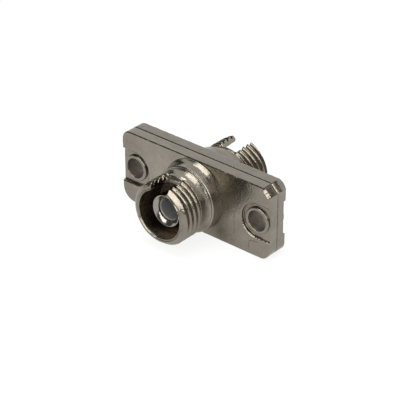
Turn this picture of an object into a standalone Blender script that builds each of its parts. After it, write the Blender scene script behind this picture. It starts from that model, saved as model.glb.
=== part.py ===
"""FC fibre adapter with a rectangular screw flange, for joining two FC connectors in a panel.

Two cast housing halves lie back to back and are riveted through the flange. Each half carries
a threaded barrel with a keyway on top. A turned sleeve holder is clamped in each half, and the
two holders keep a split ceramic alignment sleeve on the optical axis between them.

Units are metres. X runs along the flange, Y along the optical axis (the front barrel points
to -Y) and +Z is up, on the keyway side. The origin is the middle of the flange, on the plane
where the two halves meet.
"""

from math import asin, cos, pi, radians, sin

import bmesh
import bpy
from mathutils import Matrix, Vector

MM = 0.001

# Flange: the two plates share one outline
FLANGE_LENGTH = 22.2 * MM
FLANGE_HEIGHT = 9.3 * MM
FRONT_PLATE_THICKNESS = 1.48 * MM
REAR_PLATE_THICKNESS = 1.48 * MM
TOP_RIGHT_CHAMFER = 1.0 * MM
TOP_LEFT_RADIUS = 1.1 * MM
BOTTOM_RIGHT_RADIUS = 1.2 * MM
BOTTOM_LEFT_RADIUS = 1.8 * MM
FACE_EDGE_BEVEL = 0.10 * MM
PARTING_EDGE_BEVEL = 0.09 * MM

# Rivets, and the pockets that their heads sit in
RIVET_END_DISTANCE = 1.9 * MM
RIVET_SPACING = FLANGE_LENGTH - 2.0 * RIVET_END_DISTANCE
RIVET_BORE = 2.52 * MM
RIVET_WALL = 0.17 * MM
RIVET_FRONT_HEAD_DIAMETER = 3.36 * MM
RIVET_REAR_HEAD_DIAMETER = 3.60 * MM
RIVET_HEAD_HEIGHT = 0.33 * MM
POCKET_WIDTH = 4.3 * MM
POCKET_DEPTH = 0.38 * MM

# Barrel, measured outward from the parting plane
BARREL_REACH = 7.58 * MM
THREAD_DIAMETER = 7.86 * MM
THREAD_PITCH = 0.75 * MM
THREAD_DEPTH = 0.43 * MM
THREAD_START = 4.30 * MM
THREAD_RISE = 0.22 * MM
THREAD_CREST_SHARE = 0.16
THREAD_ROOT_SHARE = 0.22
# Where a crest's middle crosses the barrel's side (+X on the front barrel)
THREAD_CREST_REACH = 4.15 * MM
LEAD_CHAMFER_LENGTH = 0.32 * MM
RIM_WALL = 0.38 * MM
NECK_RELIEF = 0.23 * MM
NECK_DIAMETER = THREAD_DIAMETER - 2.0 * NECK_RELIEF
SHOULDER_REACH = 3.04 * MM
SHOULDER_STEP = 0.25 * MM
SHOULDER_DIAMETER = THREAD_DIAMETER + 2.0 * SHOULDER_STEP
SHOULDER_EDGE_RADIUS = 0.08 * MM
SHOULDER_FILLET = 0.26 * MM
BOSS_TAPER = 0.04 * MM
BOSS_DIAMETER = SHOULDER_DIAMETER + 2.0 * BOSS_TAPER
BOSS_FILLET = 0.28 * MM

# Bore round the sleeve holder, and the keyway that opens into it
BARREL_WALL = 0.765 * MM
BORE_MOUTH_DIAMETER = THREAD_DIAMETER - 2.0 * BARREL_WALL
BORE_DRAFT = 0.265 * MM
BORE_FLOOR_DIAMETER = BORE_MOUTH_DIAMETER - 2.0 * BORE_DRAFT
BORE_FLOOR_REACH = 4.00 * MM
BORE_EDGE_CHAMFER = 0.06 * MM
KEYWAY_WIDTH = 2.50 * MM
KEYWAY_END_REACH = 4.95 * MM
KEYWAY_CORNER_RADIUS = 0.30 * MM

# Sleeve holder and alignment sleeve
HOLDER_DIAMETER = 3.98 * MM
HOLDER_REACH = 6.43 * MM
HOLDER_LIP_LENGTH = 0.50 * MM
HOLDER_LIP_BORE = 2.56 * MM
HOLDER_MOUTH_DIAMETER = 3.78 * MM
HOLDER_MOUTH_DEPTH = 0.37 * MM
HOLDER_EDGE_RADIUS = 0.08 * MM
HOLDER_FLANGE_DIAMETER = 5.40 * MM
HOLDER_FLANGE_THICKNESS = 0.95 * MM
SLEEVE_DIAMETER = 3.20 * MM
SLEEVE_BORE = 2.49 * MM
SLEEVE_LENGTH = 11.76 * MM
SLEEVE_SLIT = 0.45 * MM
SLEEVE_CHAMFER = 0.12 * MM

# Gap between pieces that touch or fit, on each side of the fit
FIT_GAP = 0.03 * MM

# Facets of a full circle, and of one corner or fillet
BARREL_FACETS = 56
HOLDER_FACETS = 40
RIVET_FACETS = 36
SLEEVE_FACETS = 36
CORNER_FACETS = 6
FILLET_FACETS = 3

# How far a cutter runs past the face that it opens
CUT_MARGIN = 0.5 * MM
# Whole turns that the threaded rod is given beyond each end before it is cut square
SPARE_TURNS = 3
# Points nearer than this to a cutting plane count as lying on it
CUT_TOLERANCE = 1e-9
# Edges that bend by more than this stay sharp
SHARP_ANGLE = radians(32.0)

NICKEL = ((0.27, 0.245, 0.205), 0.28, 1.0)
BRIGHT_NICKEL = ((0.31, 0.29, 0.265), 0.18, 1.0)
RIVET_NICKEL = ((0.28, 0.255, 0.215), 0.26, 1.0)
ZIRCONIA = ((0.40, 0.395, 0.385), 0.35, 0.0)


def clear_scene():
    """Remove the objects that a new scene starts with."""
    for item in list(bpy.data.objects):
        bpy.data.objects.remove(item, do_unlink=True)


def make_material(name, finish):
    """A Principled material from (colour, roughness, metallic)."""
    colour, roughness, metallic = finish
    material = bpy.data.materials.new(name)
    material.use_nodes = True
    shader = material.node_tree.nodes["Principled BSDF"]
    shader.inputs["Base Color"].default_value = (*colour, 1.0)
    shader.inputs["Roughness"].default_value = roughness
    shader.inputs["Metallic"].default_value = metallic
    return material


def make_object(name, bm, material=None):
    """Turn a bmesh into a named object, with its faces pointing outward."""
    bmesh.ops.recalc_face_normals(bm, faces=bm.faces)
    mesh = bpy.data.meshes.new(name)
    bm.to_mesh(mesh)
    bm.free()
    mesh.shade_smooth()
    mesh.set_sharp_from_angle(angle=SHARP_ANGLE)
    item = bpy.data.objects.new(name, mesh)
    bpy.context.collection.objects.link(item)
    if material is not None:
        mesh.materials.append(material)
    return item


def combine(target, tool, operation):
    """Add a Boolean to the target and keep the tool as a wire guide."""
    tool.display_type = "WIRE"
    tool.hide_render = True
    modifier = target.modifiers.new(tool.name, "BOOLEAN")
    modifier.operation = operation
    modifier.solver = "EXACT"
    modifier.object = tool


def loft(sections):
    """A closed solid through equal rings of points, capped at both ends."""
    bm = bmesh.new()
    rings = [[bm.verts.new(point) for point in section] for section in sections]
    count = len(rings[0])
    for near, far in zip(rings, rings[1:]):
        for i in range(count):
            j = (i + 1) % count
            bm.faces.new((near[i], near[j], far[j], far[i]))
    bm.faces.new(reversed(rings[0]))
    bm.faces.new(rings[-1])
    return bm


def lathe(profile, facets, ring=False):
    """Turn (radius, reach) points about the optical axis; reach runs outward to -Y.

    A ring closes the profile on itself, and any other profile is capped flat at both ends.
    """
    bm = bmesh.new()
    angles = [2.0 * pi * i / facets for i in range(facets)]
    rings = [[bm.verts.new((radius * cos(a), -reach, radius * sin(a))) for a in angles]
             for radius, reach in profile]
    pairs = list(zip(rings, rings[1:]))
    if ring:
        pairs.append((rings[-1], rings[0]))
    for near, far in pairs:
        for i in range(facets):
            j = (i + 1) % facets
            bm.faces.new((near[i], near[j], far[j], far[i]))
    if not ring:
        bm.faces.new(reversed(rings[0]))
        bm.faces.new(rings[-1])
    return bm


def arc(centre, radius, start, end, facets):
    """Points of an arc from one angle to another, both ends included."""
    step = (end - start) / facets
    return [(centre[0] + radius * cos(start + i * step), centre[1] + radius * sin(start + i * step))
            for i in range(facets + 1)]


def flange_outline(inset, turned):
    """The flange's (x, z) outline, drawn in by an inset; a turned half has left and right swapped."""
    half_length = FLANGE_LENGTH / 2.0
    half_height = FLANGE_HEIGHT / 2.0
    corners = [(TOP_RIGHT_CHAMFER, 1), (TOP_LEFT_RADIUS, CORNER_FACETS),
               (BOTTOM_LEFT_RADIUS, CORNER_FACETS), (BOTTOM_RIGHT_RADIUS, CORNER_FACETS)]
    if turned:
        corners = [corners[1], corners[0], corners[3], corners[2]]
    outline = []
    for quarter, (radius, facets) in enumerate(corners):
        side_x = 1.0 if quarter in (0, 3) else -1.0
        side_z = 1.0 if quarter in (0, 1) else -1.0
        centre = (side_x * (half_length - radius), side_z * (half_height - radius))
        start = quarter * pi / 2.0
        outline += arc(centre, radius - inset, start, start + pi / 2.0, facets)
    return outline


def at_reach(outline, reach):
    """Place (x, z) points at a distance outward from the parting plane."""
    return [(x, -reach, z) for x, z in outline]


def turn_about(bm):
    """Turn a solid by half a turn about the vertical, so that it faces the rear."""
    bmesh.ops.transform(bm, matrix=Matrix.Diagonal((-1.0, -1.0, 1.0, 1.0)), verts=bm.verts)


def make_plate(thickness, turned):
    """The flange plate, with bevelled edges at its outer face and at the parting plane."""
    seat = FIT_GAP / 2.0
    return loft([
        at_reach(flange_outline(PARTING_EDGE_BEVEL, turned), seat),
        at_reach(flange_outline(0.0, turned), seat + PARTING_EDGE_BEVEL),
        at_reach(flange_outline(0.0, turned), thickness - FACE_EDGE_BEVEL),
        at_reach(flange_outline(FACE_EDGE_BEVEL, turned), thickness),
    ])


def make_boss(thickness):
    """The turned form from inside the plate, over the shoulder and the neck, into the thread."""
    boss = BOSS_DIAMETER / 2.0
    shoulder = SHOULDER_DIAMETER / 2.0
    neck = NECK_DIAMETER / 2.0
    core = THREAD_DIAMETER / 2.0 - THREAD_DEPTH
    profile = [(boss + BOSS_FILLET, thickness / 2.0)]
    profile += arc((boss + BOSS_FILLET, thickness + BOSS_FILLET), BOSS_FILLET,
                   1.5 * pi, pi, FILLET_FACETS)
    edge_centre = (shoulder - SHOULDER_EDGE_RADIUS, SHOULDER_REACH - SHOULDER_EDGE_RADIUS)
    profile += arc(edge_centre, SHOULDER_EDGE_RADIUS, 0.0, pi / 2.0, FILLET_FACETS)
    profile += arc((neck + SHOULDER_FILLET, SHOULDER_REACH + SHOULDER_FILLET), SHOULDER_FILLET,
                   1.5 * pi, pi, FILLET_FACETS)
    run_out = THREAD_START + THREAD_RISE / 2.0
    profile += [(neck, run_out), (core - FIT_GAP, run_out + THREAD_RISE)]
    profile.append((core - FIT_GAP, run_out + THREAD_PITCH))
    return lathe(profile, BARREL_FACETS)


def thread_profile():
    """One pitch of the thread as (share of the pitch, radius), from the middle of a crest."""
    crest = THREAD_DIAMETER / 2.0
    root = crest - THREAD_DEPTH
    half_crest = THREAD_CREST_SHARE / 2.0
    half_root = THREAD_ROOT_SHARE / 2.0
    return [(-half_crest, crest), (half_crest, crest), (0.5 - half_root, root),
            (0.5 + half_root, root)]


def make_threaded_rod():
    """A right-hand threaded rod that runs past both ends of the thread, cut square."""
    bm = bmesh.new()
    profile = thread_profile()
    start = THREAD_START - CUT_MARGIN
    end = BARREL_REACH + CUT_MARGIN
    turns_before = int((THREAD_CREST_REACH - start) / THREAD_PITCH) + SPARE_TURNS
    turns = turns_before + int((end - THREAD_CREST_REACH) / THREAD_PITCH) + SPARE_TURNS
    first_reach = THREAD_CREST_REACH - turns_before * THREAD_PITCH
    columns = []
    for step in range(turns * BARREL_FACETS + 1):
        angle = 2.0 * pi * step / BARREL_FACETS
        reach = first_reach + THREAD_PITCH * step / BARREL_FACETS
        columns.append([bm.verts.new((radius * cos(angle), -(reach + share * THREAD_PITCH),
                                      radius * sin(angle))) for share, radius in profile])
    points = len(profile)
    for step in range(turns * BARREL_FACETS):
        here, there = columns[step], columns[step + 1]
        for i in range(points - 1):
            bm.faces.new((here[i], there[i], there[i + 1], here[i + 1]))
        if step + BARREL_FACETS < turns * BARREL_FACETS:
            over_here, over_there = columns[step + BARREL_FACETS], columns[step + BARREL_FACETS + 1]
            bm.faces.new((here[-1], there[-1], over_there[0], over_here[0]))
    bmesh.ops.recalc_face_normals(bm, faces=bm.faces)
    for reach, outward in ((start, Vector((0.0, 1.0, 0.0))), (end, Vector((0.0, -1.0, 0.0)))):
        everything = bm.verts[:] + bm.edges[:] + bm.faces[:]
        cut = bmesh.ops.bisect_plane(bm, geom=everything, dist=CUT_TOLERANCE,
                                     plane_co=(0.0, -reach, 0.0), plane_no=outward,
                                     clear_outer=True)
        edges = [item for item in cut["geom_cut"] if isinstance(item, bmesh.types.BMEdge)]
        bmesh.ops.contextual_create(bm, geom=edges)
    return bm


def make_thread_envelope():
    """The turned blank of the thread: its run-out at the neck and its lead chamfer at the rim."""
    crest = THREAD_DIAMETER / 2.0
    rim = BORE_MOUTH_DIAMETER / 2.0 + RIM_WALL
    neck = NECK_DIAMETER / 2.0 - FIT_GAP
    return lathe([
        (neck, THREAD_START - THREAD_RISE),
        (neck, THREAD_START),
        (crest + FIT_GAP, THREAD_START + THREAD_RISE),
        (crest + FIT_GAP, BARREL_REACH - LEAD_CHAMFER_LENGTH),
        (rim, BARREL_REACH),
    ], BARREL_FACETS)


def make_bore():
    """The cutter of the bore, the holder's hole through the web and its seat at the parting plane."""
    mouth = BORE_MOUTH_DIAMETER / 2.0
    hole = HOLDER_DIAMETER / 2.0 + FIT_GAP
    seat = HOLDER_FLANGE_DIAMETER / 2.0 + FIT_GAP
    seat_reach = HOLDER_FLANGE_THICKNESS + FIT_GAP
    return lathe([
        (seat, -CUT_MARGIN),
        (seat, seat_reach),
        (hole, seat_reach),
        (hole, BORE_FLOOR_REACH),
        (BORE_FLOOR_DIAMETER / 2.0, BORE_FLOOR_REACH),
        (mouth, BARREL_REACH - BORE_EDGE_CHAMFER),
        (mouth + BORE_EDGE_CHAMFER + CUT_MARGIN, BARREL_REACH + CUT_MARGIN),
    ], BARREL_FACETS)


def make_keyway():
    """The cutter of the keyway: a slot with round inner corners, from the rim to its end wall."""
    half = KEYWAY_WIDTH / 2.0
    radius = KEYWAY_CORNER_RADIUS
    end = KEYWAY_END_REACH
    plan = arc((half - radius, end + radius), radius, 0.0, -pi / 2.0, CORNER_FACETS // 2)
    plan += arc((radius - half, end + radius), radius, -pi / 2.0, -pi, CORNER_FACETS // 2)
    plan += [(-half, BARREL_REACH + CUT_MARGIN), (half, BARREL_REACH + CUT_MARGIN)]
    low = HOLDER_DIAMETER / 2.0
    high = THREAD_DIAMETER / 2.0 + CUT_MARGIN
    return loft([[(x, -reach, height) for x, reach in plan] for height in (low, high)])


def make_pocket(side, thickness):
    """The cutter of a rivet pocket: round about the rivet and open at the end of the flange."""
    radius = POCKET_WIDTH / 2.0
    centre = RIVET_SPACING / 2.0
    end = FLANGE_LENGTH / 2.0 + CUT_MARGIN
    outline = [(end, radius)] + arc((centre, 0.0), radius, pi / 2.0, 1.5 * pi, 2 * CORNER_FACETS)
    outline.append((end, -radius))
    outline = [(side * x, z) for x, z in outline]
    return loft([at_reach(outline, thickness - POCKET_DEPTH),
                 at_reach(outline, thickness + CUT_MARGIN)])


def make_rivet_hole(side, thickness):
    """The cutter of the hole that a rivet's shank fills."""
    radius = RIVET_BORE / 2.0 + RIVET_WALL + FIT_GAP
    bm = lathe([(radius, -CUT_MARGIN), (radius, thickness + CUT_MARGIN)], RIVET_FACETS)
    bmesh.ops.translate(bm, verts=bm.verts, vec=(side * RIVET_SPACING / 2.0, 0.0, 0.0))
    return bm


def make_housing(name, thickness, turned, material):
    """One cast half, modelled facing the front; the rear half is turned about the vertical."""
    def tool(part, bm):
        if turned:
            turn_about(bm)
        return make_object(f"{name}_{part}", bm)

    plate = make_plate(thickness, turned)
    if turned:
        turn_about(plate)
    housing = make_object(name, plate, material)
    thread = tool("thread", make_threaded_rod())
    combine(thread, tool("thread_blank", make_thread_envelope()), "INTERSECT")
    combine(housing, tool("boss", make_boss(thickness)), "UNION")
    combine(housing, thread, "UNION")
    combine(housing, tool("bore", make_bore()), "DIFFERENCE")
    combine(housing, tool("keyway", make_keyway()), "DIFFERENCE")
    for side, end in ((-1.0, "a"), (1.0, "b")):
        combine(housing, tool(f"pocket_{end}", make_pocket(side, thickness)), "DIFFERENCE")
        combine(housing, tool(f"rivet_hole_{end}", make_rivet_hole(side, thickness)), "DIFFERENCE")
    return housing


def make_sleeve_holder(name, turned, material):
    """The turned tube that keeps the sleeve: a flange at the parting plane and a lip at its mouth."""
    outer = HOLDER_DIAMETER / 2.0
    flange = HOLDER_FLANGE_DIAMETER / 2.0
    bore = SLEEVE_DIAMETER / 2.0 + FIT_GAP
    lip = HOLDER_LIP_BORE / 2.0
    edge = HOLDER_EDGE_RADIUS
    seat = FIT_GAP / 2.0
    profile = [(bore, seat), (flange, seat), (flange, HOLDER_FLANGE_THICKNESS),
               (outer, HOLDER_FLANGE_THICKNESS)]
    profile += arc((outer - edge, HOLDER_REACH - edge), edge, 0.0, pi / 2.0, FILLET_FACETS)
    profile += [(HOLDER_MOUTH_DIAMETER / 2.0, HOLDER_REACH),
                (lip, HOLDER_REACH - HOLDER_MOUTH_DEPTH),
                (lip, HOLDER_REACH - HOLDER_LIP_LENGTH), (bore, HOLDER_REACH - HOLDER_LIP_LENGTH)]
    bm = lathe(profile, HOLDER_FACETS, ring=True)
    if turned:
        turn_about(bm)
    return make_object(name, bm, material)


def make_alignment_sleeve(name, material):
    """The split ceramic tube, chamfered inside at both ends, with its slit on top."""
    outer = SLEEVE_DIAMETER / 2.0
    bore = SLEEVE_BORE / 2.0
    half_length = SLEEVE_LENGTH / 2.0

    def section(inner, reach):
        gaps = [asin(SLEEVE_SLIT / 2.0 / radius) for radius in (outer, inner)]
        rim = arc((0.0, 0.0), outer, pi / 2.0 + gaps[0], 2.5 * pi - gaps[0], SLEEVE_FACETS)
        wall = arc((0.0, 0.0), inner, 2.5 * pi - gaps[1], pi / 2.0 + gaps[1], SLEEVE_FACETS)
        return at_reach(rim + wall, reach)

    return make_object(name, loft([
        section(bore + SLEEVE_CHAMFER, -half_length),
        section(bore, SLEEVE_CHAMFER - half_length),
        section(bore, half_length - SLEEVE_CHAMFER),
        section(bore + SLEEVE_CHAMFER, half_length),
    ]), material)


def make_rivet(name, side, material):
    """The hollow rivet that clamps the plates; the front head is formed and the rear one is rolled."""
    bore = RIVET_BORE / 2.0
    shank = bore + RIVET_WALL
    front_head = RIVET_FRONT_HEAD_DIAMETER / 2.0
    rear_head = RIVET_REAR_HEAD_DIAMETER / 2.0
    front_seat = FRONT_PLATE_THICKNESS - POCKET_DEPTH + FIT_GAP
    rear_seat = REAR_PLATE_THICKNESS - POCKET_DEPTH + FIT_GAP
    front_top = front_seat + RIVET_HEAD_HEIGHT
    rear_top = rear_seat + RIVET_HEAD_HEIGHT
    front_edge = (front_head - shank) / 2.0
    rear_edge = (rear_head - shank) / 2.0
    profile = [(shank, front_seat), (front_head, front_seat)]
    profile += arc((front_head - front_edge, front_top - front_edge), front_edge,
                   0.0, pi / 2.0, FILLET_FACETS)
    profile += [(bore, front_top), (bore, -rear_top)]
    profile += arc((rear_head - rear_edge, rear_edge - rear_top), rear_edge,
                   -pi / 2.0, 0.0, FILLET_FACETS)
    profile += [(rear_head, -rear_seat), (shank, -rear_seat)]
    bm = lathe(profile, RIVET_FACETS, ring=True)
    bmesh.ops.translate(bm, verts=bm.verts, vec=(side * RIVET_SPACING / 2.0, 0.0, 0.0))
    return make_object(name, bm, material)


def main():
    clear_scene()
    nickel = make_material("nickel_casting", NICKEL)
    bright = make_material("bright_nickel", BRIGHT_NICKEL)
    rivet_nickel = make_material("rivet_nickel", RIVET_NICKEL)
    ceramic = make_material("zirconia", ZIRCONIA)
    make_housing("front_housing", FRONT_PLATE_THICKNESS, False, nickel)
    make_housing("rear_housing", REAR_PLATE_THICKNESS, True, nickel)
    make_sleeve_holder("front_sleeve_holder", False, bright)
    make_sleeve_holder("rear_sleeve_holder", True, bright)
    make_alignment_sleeve("alignment_sleeve", ceramic)
    make_rivet("left_rivet", -1.0, rivet_nickel)
    make_rivet("right_rivet", 1.0, rivet_nickel)


main()
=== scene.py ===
"""Looks for the FC fibre adapter: nickel-plated cast halves, turned holders, a ceramic sleeve.

Lengths are in millimetres, unless a comment says metres. A reach is a distance from the parting
plane towards a barrel's rim. Each half is made with its rim at -Y, and the rear one is then
turned about the vertical. Angles round the barrel start at +X and pass the keyway at 90 degrees.
"""

from math import asin, cos, degrees, pi, radians, sin, sqrt

import bmesh
import bpy
import numpy as np
from mathutils import Matrix, Vector


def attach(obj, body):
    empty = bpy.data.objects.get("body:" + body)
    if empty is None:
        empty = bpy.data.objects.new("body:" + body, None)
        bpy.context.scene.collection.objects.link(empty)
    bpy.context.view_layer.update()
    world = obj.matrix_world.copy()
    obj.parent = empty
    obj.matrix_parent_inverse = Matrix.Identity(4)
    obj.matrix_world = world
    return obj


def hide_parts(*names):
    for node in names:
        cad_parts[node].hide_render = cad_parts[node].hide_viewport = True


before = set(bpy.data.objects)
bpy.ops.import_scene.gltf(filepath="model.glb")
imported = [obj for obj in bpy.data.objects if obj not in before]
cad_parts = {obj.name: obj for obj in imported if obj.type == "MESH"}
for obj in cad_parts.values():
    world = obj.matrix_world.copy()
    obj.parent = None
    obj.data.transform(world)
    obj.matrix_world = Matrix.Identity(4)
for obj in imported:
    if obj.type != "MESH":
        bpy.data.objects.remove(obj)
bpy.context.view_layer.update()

MM = 0.001

# How far a cutter runs past the surface that it opens, and the gap between fitted pieces
OVERCUT = 0.5
FIT_GAP = 0.03

# Faces that meet at more than this many degrees keep a sharp edge
CAST_SHARP = 38.0
TURNED_SHARP = 30.0

# Steps round a turned piece and round the sleeve's section
LATHE_STEPS = 120
SLEEVE_STEPS = 96

# Flange plate
FLANGE_LENGTH = 22.2
FLANGE_HEIGHT = 9.3
THICKNESS = 1.48
TOP_RIGHT_CHAMFER = 1.0
TOP_LEFT_RADIUS = 1.1
BOTTOM_RIGHT_RADIUS = 1.2
BOTTOM_LEFT_RADIUS = 1.8
OUTLINE_STEP = 0.12
SIDE_REACHES = np.arange(0.36, 1.14, 0.11)

# Its edges: rounded, and along the front plate's top a flat bevel. An edge counts as top as far
# as the upward part of its direction, times the slope and less the start, is above 0
FACE_EDGE = 0.08
FACE_EDGE_RANGE = (0.03, 0.3)
TOP_EDGE = 0.11
TOP_EDGE_RANGE = (0.03, 0.44)
TOP_EDGE_SLOPE = 3
TOP_EDGE_START = 1.8
EDGE_STEPS = 6

# Groove at the parting plane. It is shallower at the ends, its step is wider at the trimmed
# corner, and the step runs out to the side through a point at these shares of its width
PARTING_GAP = 0.015
GROOVE_DEPTH = 0.16
GROOVE_HALF = 0.075
GROOVE_END_LOSS = 0.6
GROOVE_STEP = 0.03
GROOVE_STEP_AT_CORNER = 0.13
GROOVE_LIP = 0.004
GROOVE_ROUNDING = (0.25, 0.7)
GROOVE_RUN = 0.02

# Trimmed corner: bevelled in front, bulged behind; it fades out as the outline turns away
DIAGONAL = 0.707
CORNER_FULL = 1.5
CORNER_FADE = 8
CORNER_BEVEL = 0.175
CORNER_BULGE = 0.17
BULGE_RISES = (0.75, 1.4)

# Marks on the plate: burrs that bridge the top edge's bevel, and fine casting lines on the faces
TOP_EDGE_NICKS = (-7.03, -5.55, 4.57, 6.17)
NICK_WIDTH = 0.06
SCRIBES = (((6.0, 0.1), (6.0, -1.4), (6.02, -2.9)),
           ((8.2, -3.9), (8.2, -3.2), (8.27, -2.95), (8.45, -2.8), (8.7, -2.74), (9.4, -2.74)))
SCRIBE_WIDTH = 0.11
SCRIBE_DEPTH = 0.05
SCRIBE_OVERCUT = 0.05

# Pockets, with the right one's lower wall rising towards the end
POCKET_RADIUS = 2.15
POCKET_DEPTH = 0.38
POCKET_EDGE = 0.18
POCKET_FILLET = 0.06
POCKET_EDGE_ANGLES = (0, 15, 35, 55, 75)
POCKET_FLOOR_INSET = 0.05
POCKET_FLARE = 0.30
POCKET_FLARE_HEIGHT = 0.15
POCKET_OVERCUT = 0.6
POCKET_RISE = 0.17
POCKET_RISE_HALF = 0.6
POCKET_RISE_BELOW = (1.3, 2.0)

# Rivets
RIVET_X = 9.2
RIVET_BORE = 1.26
RIVET_SHANK = 1.43
RIVET_FRONT_HEAD = 1.68
RIVET_FRONT_EDGE = 0.15
RIVET_MOUTH_EDGE = 0.08
RIVET_REAR_HEAD = 1.80
RIVET_REAR_EDGE = 0.16
RIVET_REAR_MOUTH = 0.14
RIVET_TOP = 1.40
RIVET_MIDDLE = 0.4

# Boss. Its foot sweeps out over the plate, wide over the top and low elsewhere: it widens and
# narrows between these angles, and the sweep starts at this share of its rise
BOSS = 4.235
FOOT_RING = 4.50
FOOT_STEP = 0.006
FOOT_START = 0.06
FOOT_CORNER = 0.015
FOOT_LOW = 0.30
FOOT_RISE = 0.60
FOOT_HOLLOW = 1.6
FOOT_WIDENS = (28, 58)
FOOT_NARROWS = (150, 190)
PLAIN_BELOW = THICKNESS + 0.01
SHOULDER = 4.18
SHOULDER_REACH = 3.04
SHOULDER_EDGE = 0.12
SHOULDER_FILLET = 0.10

# Section of the shoulder's edge, as shares of its width and height
SHOULDER_SECTION = ((1.0, 0.0), (0.96, 0.14), (0.88, 0.28), (0.20, 0.87), (0.08, 0.97), (0.0, 1.0))

# Neck and thread; the widths of the thread's crest, bevel and root, and the shifts that blur
# its section, are in turns
NECK = 3.64
NECK_SWEEP = 0.22
NECK_SWEEP_LENGTH = 0.95
NECK_STEP = 0.06
NECK_END = 4.10
BARREL_REACH = 7.58
CREST = 3.93
ROOT = 3.50
PITCH = 0.75
THREAD_STEP = 0.026
CREST_AT_SIDE = 4.15
CREST_HALF = 0.06
CREST_BEVEL = 0.17
CREST_DROP = 0.30
ROOT_HALF = 0.07
THREAD_BLUR = (-0.03, -0.015, 0.0, 0.015, 0.03)
ROOT_RUNS_OUT = (4.38, 4.66)
CREST_RUNS_OUT = (4.26, 4.52)

# Lead chamfer, worn deeper round one angle, and the rim's section as (radius, depth) pairs
RIM = 3.54
LEAD_LENGTH = 0.32
LEAD_WEAR = 0.19
LEAD_WEAR_ANGLE = 56
LEAD_WEAR_SPREAD = 20
RIM_EDGE = 0.13
RIM_EDGE_INSET = 0.6
RIM_SECTION = ((3.31, 0.03), (3.24, 0.10), (3.17, 0.10), (3.10, 0.0), (2.2, 0.0))

# Bore
BORE_MOUTH = 3.03
BORE_MOUTH_EDGE = 0.05
BORE_MOUTH_FLARE = 0.20
BORE_MOUTH_OVERCUT = 0.12
BORE_LIP = 0.06
BORE_FLOOR = 2.90
BORE_FLOOR_REACH = 4.0
BORE_FILLET = 0.12
BORE_ROWS = 70
BORE_WAVES_START = 0.1

# Keyway, with rolled edges, a burr along the front one's left edge and a bevel at its closed end
KEYWAY_HALF = 1.25
KEYWAY_END = 4.95
KEYWAY_CORNER = 0.30
KEYWAY_HEIGHTS = (1.9, 4.6)
SLOT_EDGE = 0.08
REAR_SLOT_EDGE = 0.17
INNER_SLOT_EDGE = 0.05
SLOT_ROLL_FROM = 4.5
SLOT_BURR = 0.034
BURR_FROM = 4.4
BURR_MIDDLE = 0.04
BURR_SPREAD = 0.16
END_BEVEL = 0.42
END_BEVEL_SHIFT = 0.15
END_BEVEL_FADES = (0.15, -0.25)
END_BEVEL_START = 0.92
END_BEVEL_LENGTH = 0.97
END_BEVEL_STOP = 0.5

# Beyond this radius the stem's points are its outer surface
OUTER_WALL = 3.2

# Angles round the barrel in degrees: closer together where the keyway's edges run, and none
# nearer to the full turn than the last step
FINE_ANGLES = ((63, 74), (106, 117))
FINE_STEP = 0.28
COARSE_STEP = 1.5
LAST_STEP = 0.2

# A surface that rolls off at an edge ends on a straight slope, nearer than this share of the radius
ROLL_START = 0.12
ROLL_SLOPE = 1.2

# Waver of the cast surfaces, as (size, scale) pairs, with the outline kept inside the CAD's
TOP_EDGE_WAVES = ((0.014, 0.8), (0.004, 0.25))
FACE_EDGE_WAVES = ((0.012, 0.6),)
CORNER_WAVES = ((0.035, 0.25),)
CORNER_SHAKE = 0.006
CORNER_SHAKE_SCALE = 0.28
OUTLINE_WAVES = ((0.007, 1.5), (0.004, 0.45))
OUTLINE_OUT = 0.018
OUTLINE_IN = 0.03
POCKET_CRINKLE = 0.006
POCKET_LOW_CRINKLE = 0.016
POCKET_CRINKLE_SCALE = 0.3
POCKET_CRINKLE_STRETCH = (1, 0.3, 1)
POCKET_CRINKLE_FADE = 0.3
POCKET_LOW_SLOPE = 2
POCKET_LOW_START = 0.6
STEM_WAVES = ((0.006, 2.6), (0.004, 0.9))
DENTS = 0.003
THREAD_DENTS = 0.006
THREAD_DENTS_FROM = (3.9, 4.3)
DENT_SCALE = 0.35
BURR_SCALE = 0.20
BORE_WAVES = ((0.008, 1.6), (0.005, 0.6))

# What counts as the bore's wall: within this margin of its radius, and beyond this reach
WALL_MARGIN = 0.045
WALL_START = 1.0
RIVET_WALL_MARGIN = 0.01

# Holders and sleeve; the mouth's section is a funnel of (radius, reach) pairs
HOLDER = 1.99
HOLDER_EDGE = 0.07
HOLDER_FLANGE = 2.70
HOLDER_FLANGE_REACH = 0.95
HOLDER_REACH = 6.43
HOLDER_LIP = 1.37
HOLDER_LIP_LENGTH = 0.50
HOLDER_ROWS = (3.0, 5.0)
HOLDER_MOUTH = ((1.895, 6.43), (1.875, 6.423), (1.78, 6.376), (1.68, 6.32), (1.58, 6.258),
                (1.49, 6.195), (1.42, 6.14), (1.39, 6.108), (1.375, 6.08), (HOLDER_LIP, 6.05))
SLEEVE_OUTER = 1.60
SLEEVE_BORE = 1.245
SLEEVE_EDGE = 0.11
SLEEVE_HALF = 5.88
SLEEVE_SLIT = 0.45

# Noise patterns of the metals: (waves a metre, detail, roughness)
PATCHES = (420.0, 6.0, 0.62)
SPECKLE = (4200.0, 3.0, 0.6)
MOTTLE = (2600.0, 4.0, 0.65)
CASTING = (2300.0, 6.0, 0.7)
GLOSS = (1300.0, 5.0, 0.6)
GRAIN = (7000.0, 3.0, 0.6)

# What the patterns do: (position, colour or tone) stops, and what a range becomes
PATCH_STOPS = (0.30, 0.70)
SPECKLE_TONES = ((0.30, (0.90, 0.89, 0.87)), (0.50, (1.0, 1.0, 1.0)), (0.75, (1.03, 1.03, 1.03)))
CASTING_STOPS = (0.36, 0.50, 0.66)
MOTTLE_RANGE = (0.35, 0.65, 0.75, 1.25)
GLOSS_RANGE = (0.3, 0.7)

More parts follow.
